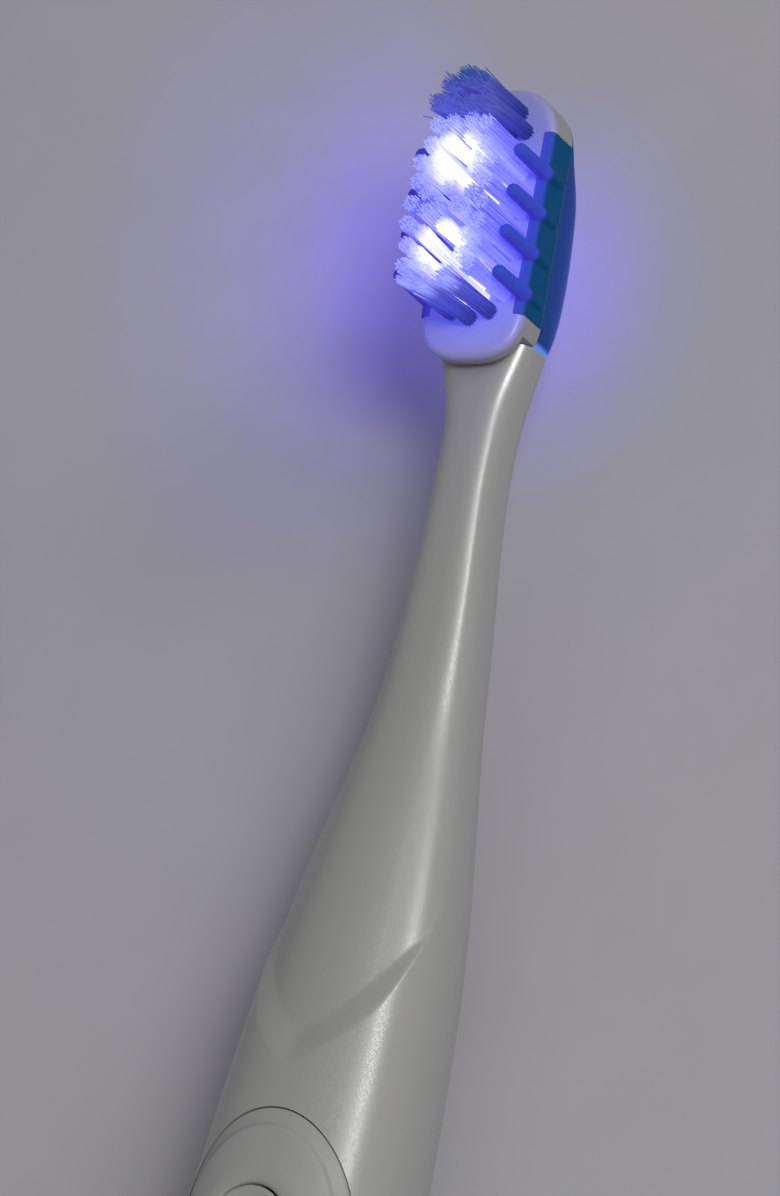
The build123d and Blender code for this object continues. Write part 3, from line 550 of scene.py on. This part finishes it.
def button():
    """Push button with a shallow dish, a rounded rim and its stem."""
    shoulder, inner = BUTTON_TOP_Z - BUTTON_ROUND, BUTTON_R - BUTTON_ROUND
    profile = [(STEM_R, STEM_Z), (STEM_R, 10.15), (BUTTON_R - 0.1, BUTTON_FLOOR_Z)]
    profile += [(BUTTON_R, BUTTON_FLOOR_Z + 0.1), (BUTTON_R, shoulder)]
    profile += [(inner + BUTTON_ROUND * cos(a), shoulder + BUTTON_ROUND * sin(a)) for a in quarter(6, 0.2)]
    profile += [(r, BUTTON_TOP_Z - DISH_DEPTH * (1 - (r / DISH_R) ** 2))
                for r in (DISH_R, 3.4, 3.0, 2.4, 1.6, 0.8, 0.05)]
    return closed([oval(r, r, 96, z) for r, z in profile], "push_button")


def cap():
    """Tail cap: rounded end, seam, straight spigot and the cell's bore with its contact slot."""
    turn = columns(CAP_COLUMNS)

    def outer(y, off=0.0):
        return skin(np.full(CAP_COLUMNS, y), turn, off)

    def bar(y, off=0.0):
        x = (SPIGOT_HALF_W + off) * power(np.cos(turn), SPIGOT_POWER)
        z = (SPIGOT_HALF_H + off) * power(np.sin(turn), SPIGOT_POWER)
        return np.stack([x, np.full(CAP_COLUMNS, y), z], -1)

    def bore(y, r=CAP_BORE_R):
        return np.stack([r * np.cos(turn), np.full(CAP_COLUMNS, y), r * np.sin(turn)], -1)

    edge = CAP_Y - SEAM_GAP
    rows = [outer(0.0, -TAIL_ROUND) * np.array((k, 1, k)) for k in (0.02, 0.4, 0.75, 0.93)]
    rows += [outer(TAIL_ROUND * (1 - cos(a)), -TAIL_ROUND * (1 - sin(a))) for a in quarter(9)]
    rows += [outer(y) for y in np.arange(3, 19.8, 1.2)]
    rows += [outer(edge - EDGE_BREAK), outer(edge, -EDGE_BREAK)]
    rows += [bar(edge), bar(CAP_SEAL_Y0 - 0.05), bar(CAP_SEAL_Y0, -CAP_SEAL_SINK)]
    rows += [bar(CAP_SEAL_Y1, -CAP_SEAL_SINK), bar(CAP_SEAL_Y1 + 0.05)]
    rows += [bar(SPIGOT_Y1 - 0.3), bar(SPIGOT_Y1, -0.25), bore(SPIGOT_Y1, CAP_BORE_R + 0.15)]
    rows += [bore(SPIGOT_Y1 - 0.2), bore(16.0), bore(CAP_FLOOR_Y), bore(CAP_FLOOR_Y, 0.1)]
    obj = closed(rows, "tail_cap")
    carve(obj, block(*STRIP_ROOM))
    return obj


def pad():
    """Ribbed grip pad let into the back, with the flat that the brush lies on."""
    flat = -REST_Z
    straight = np.arange(PAD_Y0 + PAD_HALF_W, PAD_Y1 - PAD_HALF_W + 0.01, 0.22)
    arc = np.linspace(0, pi, 26)[1:-1]
    one, none = np.ones(len(straight)), np.zeros(len(straight))
    across = np.concatenate([one, np.cos(arc), -one, -np.cos(arc)])
    along = np.concatenate([none, np.sin(arc), none, -np.sin(arc)])
    spine = np.concatenate([
        straight, np.full(len(arc), straight[-1]), straight[::-1], np.full(len(arc), straight[0]),
    ])

    def sunk(r):
        """Ring r away from the spine, let into the handle."""
        x, y = r * across, spine + r * along
        return np.stack([x, y, skin_height(x, y, -PAD_SINK, -1)], -1)

    def ring(r, z):
        """Ring r away from the spine at z, with the ribs cut in where it lies inside their frame."""
        x, y = r * across, spine + r * along
        cut = RIB_DEPTH * (1 - smooth(0.1, 0.5, np.abs(np.sin(pi * y / RIB_PITCH))))
        framed = smooth(PAD_Y0 + 3, PAD_Y0 + 4, y) * (1 - smooth(PAD_Y1 - 4, PAD_Y1 - 3, y))
        framed = framed * (1 - smooth(RIB_HALF_W, RIB_HALF_W + 0.4, r))
        return np.stack([x, y, z + cut * framed], -1)

    rows = [sunk(0.05), sunk(2.8), sunk(PAD_HALF_W), ring(PAD_HALF_W, flat + PAD_ROUND)]
    rows += [ring(PAD_HALF_W - PAD_ROUND * (1 - cos(a)), flat + PAD_ROUND * (1 - sin(a)))
             for a in quarter(6, 0.25)]
    rows += [ring(r, flat) for r in (4.6, 4.35, 4.2, 4.05, RIB_HALF_W, 3.2, 2.4, 1.6, 0.8, 0.05)]
    grip = Shape()
    grip.grid(rows + rows[:1])
    return grip.object("grip_back")


# ---------------------------------------------------------------- head
def plan(inset, count=72):
    """Outline of the head, moved inwards: squarish heel, rounder toe."""
    half = np.linspace(0, pi, count)
    half_w = FACE_HALF_W - inset

    def end(sign, y, reach, n):
        x = sign * half_w * power(np.cos(half), n)
        return np.stack([x, y + sign * (reach - inset) * power(np.sin(half), n)], -1)

    side = np.linspace(TOE_BEND_Y, HEEL_BEND_Y, 22)[1:-1]
    left = np.stack([np.full(len(side), -half_w), side], -1)
    right = left[::-1] * np.array((-1, 1))
    toe, heel = end(1, TOE_BEND_Y, TOE_REACH, TOE_POWER), end(-1, HEEL_BEND_Y, HEEL_REACH, HEEL_POWER)
    return np.concatenate([toe, left, heel, right])


def half_width(y):
    """Half width of the head's outline at a station."""
    toe = 1 - np.clip((y - TOE_BEND_Y) / TOE_REACH, 0, 1) ** TOE_POWER
    heel = 1 - np.clip((HEEL_BEND_Y - y) / HEEL_REACH, 0, 1) ** HEEL_POWER
    return FACE_HALF_W * np.where(y > TOE_BEND_Y, toe ** (1 / TOE_POWER), heel ** (1 / HEEL_POWER))


def level(inset, z):
    """The head's outline, moved inwards, at a height."""
    ring = plan(inset)
    return np.concatenate([ring, np.full((len(ring), 1), z)], 1)


def inner_bay():
    """Cutter for the room that the light tongue slides into: a box over a half round."""
    section = [(BAY_HALF_W, BAY_TOP_Z), (-BAY_HALF_W, BAY_TOP_Z), (-BAY_HALF_W, BAY_MID_Z)]
    section += [(BAY_HALF_W * cos(a), BAY_MID_Z + BAY_DEPTH * sin(a))
                for a in np.linspace(pi, 2 * pi, 17)[1:-1]]
    section += [(BAY_HALF_W, BAY_MID_Z)]
    return prism(section, SEAM_Y - 1.0, BAY_Y1, from_head)


def under_back():
    """Cutter for everything below the rising line of the head's back."""
    ys = np.linspace(8, BACK_LINE[-1, 0], 30)
    rows = [[(-BESIDE_X, y, z), (BESIDE_X, y, z), (BESIDE_X, y, BELOW_Z), (-BESIDE_X, y, BELOW_Z)]
            for y, z in zip(ys, BACK(ys))]
    return closed(rows, "cutter", from_head)


def carrier():
    """White carrier: face plate with a soft rim, skirt, and the rounded chin over the neck."""
    rows = [level(k, 0.0) for k in (6.0, 4.5, 3.0, 1.8, 1.1)]
    rows += [level(FACE_ROUND * (1 - sin(a)), -FACE_ROUND * (1 - cos(a))) for a in quarter(9)]
    rows += [level(0, z) for z in (-1.1, -1.4)]
    rows += [level(CHIN_ROUND * (1 - cos(a)), CHIN_Z + CHIN_ROUND * (1 - sin(a))) for a in quarter(10, 0.1)]
    rows += [level(k, CHIN_Z) for k in (2.4, 4.0, 6.0)]
    obj = closed(rows, "bristle_plate", from_head)
    skirt = closed([level(0.004, z) for z in (-1.3, -2.0, -3.0, -4.0, SKIRT_Z)], "skirt", from_head)
    carve(skirt, block(-BESIDE_X, BESIDE_X, -30, SEAM_Y + SEAM_GAP, -9, 2, from_head))
    carve(obj, skirt, "UNION")
    carve(obj, under_back())
    carve(obj, inner_bay())
    return obj


def back_shell():
    """Translucent back of the head, thinning towards the toe."""
    ys = np.concatenate([[SEAM_Y + SEAM_GAP], np.linspace(-10.9, 8, 40), np.linspace(8.4, BACK_Y1, 26)])
    top = SKIRT_Z - BACK_GAP
    depths = np.clip(top - BACK(ys), 0.02, None)
    turn = np.linspace(0, pi, 73)
    rows = []
    for y, depth in zip(ys, depths):
        square = 4.0 - 1.6 * smooth(6, 13, y)
        x = (half_width(y) + 0.02) * power(np.cos(turn), square)
        drop = depth * power(np.sin(turn), square)
        rows.append(np.stack([x, np.full(len(turn), y), top - drop], -1))
    obj = closed(rows, "head_back", from_head)
    carve(obj, inner_bay())
    return obj


def band(side, name):
    """Soft side band over the rim, with its row of tapered fingers and the ribs under them."""
    strip = Shape()
    ends = (True, True)
    strip.grid([[(side * x, y, z) for x, z in BAND_PROFILE] for y in np.linspace(BAND_Y0, BAND_Y1, 12)],
               caps=ends)
    turn = columns(28)
    profile = FINGER_PROFILE + [(FINGER_TIP_Z + FINGER_TIP_R * sin(a), FINGER_TIP_R * cos(a))
                                for a in np.linspace(0.15, pi / 2 - 0.06, 7)]
    for i in range(FINGER_COUNT):
        x, y = side * FINGER_X, (i - (FINGER_COUNT - 1) / 2) * FINGER_PITCH
        rows = [np.stack([x + r * np.cos(turn), y + r * np.sin(turn), np.full(len(turn), z)], -1)
                for z, r in profile]
        strip.grid(rows, caps=ends)
    obj = strip.object(name, from_head)
    fuse = obj.modifiers.new("fuse", "REMESH")
    fuse.mode, fuse.voxel_size = "VOXEL", FUSE_MM * MM
    soften = obj.modifiers.new("soften", "SMOOTH")
    soften.factor, soften.iterations = 0.5, 4
    settle(obj)
    return obj


# ---------------------------------------------------------------- tufts
def hairs(shape, rng, x, y, lean, radius, top, count, thick, splay, fray, ragged):
    """One tuft: filaments packed in a round hole, splaying and fraying towards their tips."""
    turn = columns(HAIR_SIDES)
    ring = np.stack([np.cos(turn), np.sin(turn), np.zeros(HAIR_SIDES)], -1)
    girth = HAIR_GIRTH * thick / 2
    for i in range(count):
        r = radius * HAIR_PACKING * sqrt((i + 0.5) / count)
        a = GOLDEN * i + rng.uniform(-0.15, 0.15)
        foot = np.array((x + r * cos(a), y + r * sin(a)))
        out = splay * r * np.array((cos(a), sin(a))) + lean
        out = out + rng.normal(0, fray, 2) * (1.0 if rng.random() > STRAY_SHARE else STRAY)
        tip = top + rng.uniform(-ragged, ragged)
        z = HAIR_ROOT_Z + (tip - HAIR_ROOT_Z) * HAIR_STEPS
        centre = np.concatenate([foot + np.outer(HAIR_STEPS ** 1.8, out), z[:, None]], 1)
        shape.grid(centre[:, None, :] + girth[:, None, None] * ring[None], caps=(False, True))
        shape.tones.append(np.full(len(z) * HAIR_SIDES, rng.uniform(1 - TONE, 1 + TONE)))


def both_sides(spots):
    """The spots, and the mirror images of those off the middle line."""
    return spots + [(-x, y) for x, y in spots if x > 0]


# ---------------------------------------------------------------- glow, from points on the head frame
def near(distance, reach):
    """1 at no distance, falling off softly with it."""
    return np.exp(-(distance / reach) ** 2)


def led_distance(p):
    """Distance from each point to the nearer light window."""
    return np.min([np.linalg.norm(p - np.array((0, y, LENS_Z)), axis=1) for y in LED_Y], axis=0)


def mixed(low, high, share):
    """Colours between low and high."""
    return np.asarray(low)[None] * (1 - share[:, None]) + np.asarray(high)[None] * share[:, None]


def white_hair_glow(p):
    """Painted light on the white filaments, as if they pipe the light up: bright sides, lilac tips, burnt
    out over the windows.
    """
    away = np.min([np.hypot(p[:, 0], p[:, 1] - y - 0.08 * p[:, 2]) for y in LED_Y], axis=0)
    side = mixed((0.045, 0.045, 0.62), (1.6, 1.6, 1.9), near(away, 2.6))
    top = mixed((0.19, 0.205, 0.72), (1.9, 1.9, 2.1), near(away, 1.9))
    tip = smooth(8.62, 8.8, p[:, 2])[:, None]
    return side * (1 - tip) + top * tip


def blue_hair_glow(p):
    """Painted light on the blue filaments: painted shade at the roots, violet where the light reaches, teal
    at the far tips of the toe.
    """
    reach = near(led_distance(p), 9.0)[:, None]
    # painted shade at the roots of the tufts
    root_shade = (1 - smooth(0.3, 2.8, p[:, 2]))[:, None]
    far = (0.8 * smooth(12.6, 15.4, p[:, 1]) * smooth(7.0, 9.4, p[:, 2]))[:, None]
    colour = mixed((0.030, 0.030, 0.28), (0.10, 0.105, 0.48), smooth(5.0, 9.4, p[:, 2]))
    colour = colour * (1 - far) + far * np.array((0.004, 0.09, 0.22))
    colour = colour * (0.45 + reach) * (1 - 0.8 * root_shade)
    # painted light on the tips of the heel tufts
    heel_tip = ((1 - smooth(-8.5, -7.0, p[:, 1])) * smooth(7.6, 9.8, p[:, 2]))[:, None]
    return colour + heel_tip * np.array((0.20, 0.21, 0.50))


def carrier_glow(p):
    """Painted light on the carrier's face, less so away from the windows, and painted shade at the heel."""
    reach = near(led_distance(p), 8.5)
    face = smooth(-1.2, -0.02, p[:, 2])
    # painted shade: the glow halves towards the heel
    heel = (1 - smooth(-14.0, -12.0, p[:, 1]))[:, None]
    return mixed((0.0, 0.0, 0.008), (0.035, 0.04, 0.74), face * (0.22 + 0.78 * reach)) * (1 - 0.5 * heel)


def band_glow(p):
    """Painted violet light on the fingers, and a little more on the band's inner edge."""
    finger = smooth(-0.7, 0.2, p[:, 2])[:, None]
    inner = (1 - smooth(4.9, 6.1, np.abs(p[:, 0])))[:, None]
    return finger * np.array((0.035, 0.010, 0.33)) + inner * finger * np.array((0.02, 0.01, 0.12))


def back_glow(p):
    """Painted light leaking through the blue back, most of all at its edge by the neck."""
    edge = (1 - smooth(-11.05, -10.5, p[:, 1]))[:, None]
    colour = mixed((0.001, 0.008, 0.05), (0.004, 0.014, 0.14), smooth(5.0, 9.0, -p[:, 2]))
    return colour + edge * np.array((0.10, 0.22, 0.70))


def floor_glow(p):
    """Violet light painted on the floor as if the head threw it there: two pools and a wide fringe."""
    spot = from_head(p)
    total = np.full(len(p), FLOOR_HAZE)
    for peak, x, y, across, along, turn, slow in FLOOR_POOLS:
        dx, dy = spot[:, 0] - x, spot[:, 1] - y
        u, v = cos(turn) * dx + sin(turn) * dy, cos(turn) * dy - sin(turn) * dx
        q = (u / across) ** 2 + (v / along) ** 2
        total += peak * ((1 + q) ** -1.5 if slow else np.exp(-q / 2))
    return total[:, None] * np.array(FLOOR_VIOLET)


# ---------------------------------------------------------------- build
shell = handle()
shade(shell)
piece(shell, M["pearl"], "handle", "pearl_plastic", "handle_shell")
cover = panel()
shade(cover, 50)
piece(cover, M["cover"], "handle", "pearl_plastic", "control_panel")
push = button()
shade(push)
piece(push, M["cover"], "power_button", "pearl_plastic", "power_button")
tail = cap()
shade(tail)
piece(tail, M["pearl"], "end_cap", "pearl_plastic", "end_cap")
grip = pad()
shade(grip, 45)
piece(grip, M["pad"], "handle", "teal_rubber", "grip_pad")

plate = carrier()
shade(plate)
glow(plate, carrier_glow)
piece(plate, M["carrier"], "brush_head", "white_carrier", "bristle_carrier")
back = back_shell()
shade(back)
glow(back, back_glow)
piece(back, M["back"], "brush_head", "blue_shell", "head_back_shell")
for side, name in ((1, "finger_band_right"), (-1, "finger_band_left")):
    strip = band(side, name)
    shade(strip, 60)
    glow(strip, band_glow)
    piece(strip, M["rubber"], "brush_head", "teal_rubber", name)

WHITE_HAIRS = dict(radius=0.8, top=9.0, count=52, thick=0.16, splay=0.20, fray=0.04, ragged=0.10)
HEEL_HAIRS = dict(radius=0.9, top=10.1, count=60, thick=0.15, splay=0.12, fray=0.12, ragged=0.22)
TOE_HAIRS = dict(radius=0.9, top=9.6, count=96, thick=0.13, splay=0.30, fray=0.22, ragged=0.35)
# Piece, CAD node, spots, lean, filaments, look, slot, glow
TUFTS = [
    ("rim_filaments", "rim_tufts", RIM_SPOTS, (0.0, 0.0), WHITE_HAIRS,
     "white_hair", "white_bristle", white_hair_glow),
    ("inner_filaments", "inner_tufts", INNER_SPOTS, (0.0, 0.0), WHITE_HAIRS,
     "white_hair", "white_bristle", white_hair_glow),
    ("heel_filaments", "heel_tufts", HEEL_SPOTS, (-0.5, -0.3), HEEL_HAIRS,
     "blue_hair", "blue_bristle", blue_hair_glow),
    ("toe_filaments", "toe_tufts", TOE_SPOTS, (0.0, -0.6), TOE_HAIRS,
     "blue_hair", "blue_bristle", blue_hair_glow),
]
rng = np.random.default_rng(7)
for name, node, spots, lean, filaments, look, slot, colour_at in TUFTS:
    tuft = Shape()
    for x, y in both_sides(spots):
        own_lean = np.array(lean) + rng.normal(0, TUFT_LEAN, 2)
        hairs(tuft, rng, x, y, own_lean, **filaments)
    obj = tuft.object(name, from_head, weld=False)
    shade(obj, 60)
    glow(obj, colour_at, np.concatenate(tuft.tones)[:, None])
    piece(obj, M[look], "brush_head", slot, node)


# ---------------------------------------------------------------- stage, light, camera
def floor():
    """Large pale sheet under the brush, finely divided where the head's light is painted on it."""
    radii = np.concatenate([[0.05], np.arange(2, 120, 2.0), [160, 240, 400, 800, 2500]])
    turn = columns(96)
    rows = [np.stack([FLOOR_X + r * np.cos(turn), FLOOR_Y + r * np.sin(turn), np.full(96, -REST_Z)], -1)
            for r in radii]
    sheet = Shape()
    sheet.grid(rows, caps=(True, False))
    obj = sheet.object("floor")
    obj.data.materials.append(M["floor"])
    glow(obj, floor_glow)
    return obj


ground = floor()

world = bpy.data.worlds.new("studio")
bpy.context.scene.world = world
world.use_nodes = True
world.node_tree.nodes["Background"].inputs["Color"].default_value = (0.98, 0.98, 1.0, 1)
world.node_tree.nodes["Background"].inputs["Strength"].default_value = 0.235


def area(name, direction, distance, size, watts):
    """Round soft light that looks at the brush from a direction; distance and size are in metres."""
    light = bpy.data.lights.new(name, "AREA")
    light.shape, light.size, light.energy = "DISK", size, watts
    obj = bpy.data.objects.new(name, light)
    bpy.context.scene.collection.objects.link(obj)
    away = Vector(direction).normalized() * distance
    obj.location = Vector((0.0, 0.01, 0.01)) + away
    obj.rotation_euler = away.to_track_quat("Z", "Y").to_euler()


def heel_spill():
    """Small violet bulb over the heel, for the light that the tufts throw on it and on the neck."""
    light = bpy.data.lights.new("heel_spill", "POINT")
    light.energy, light.shadow_soft_size, light.color = 0.0006, 1.5 * MM, (0.30, 0.20, 1.0)
    obj = bpy.data.objects.new("heel_spill", light)
    bpy.context.scene.collection.objects.link(obj)
    obj.location = to_row(from_head((0.0, -15.0, 7.0)))
    obj.visible_camera = False
    obj.visible_glossy = False


area("key", (0.75, 0.43, 0.50), 0.9, 0.25, 1.05)
area("main", (0.58, -0.10, 0.81), 2.0, 0.55, 12.0)
area("side", (0.70, -0.19, 0.69), 2.0, 0.55, 7.0)
area("upper", (0.70, 0.20, 0.75), 2.0, 0.55, 2.6)
heel_spill()

CAMERA_AT = (245.68, -60.82, 395.16)  # on the bench frame
CAMERA_RIGHT, CAMERA_BACK = (0.8681, 0.2262, -0.4418), (0.49638, -0.39699, 0.77201)
camera = bpy.data.objects.new("camera", bpy.data.cameras.new("camera"))
bpy.context.scene.collection.objects.link(camera)
camera.data.sensor_width, camera.data.lens = 36.0, 145.84
camera.data.clip_start, camera.data.clip_end = 0.01, 20.0
camera_axes = (CAMERA_RIGHT, np.cross(CAMERA_BACK, CAMERA_RIGHT), CAMERA_BACK, to_row(CAMERA_AT))
camera.matrix_world = Matrix([[axis[i] for axis in camera_axes] for i in range(3)] + [(0, 0, 0, 1)])
bpy.context.scene.camera = camera
bpy.context.scene.view_settings.view_transform = "Standard"
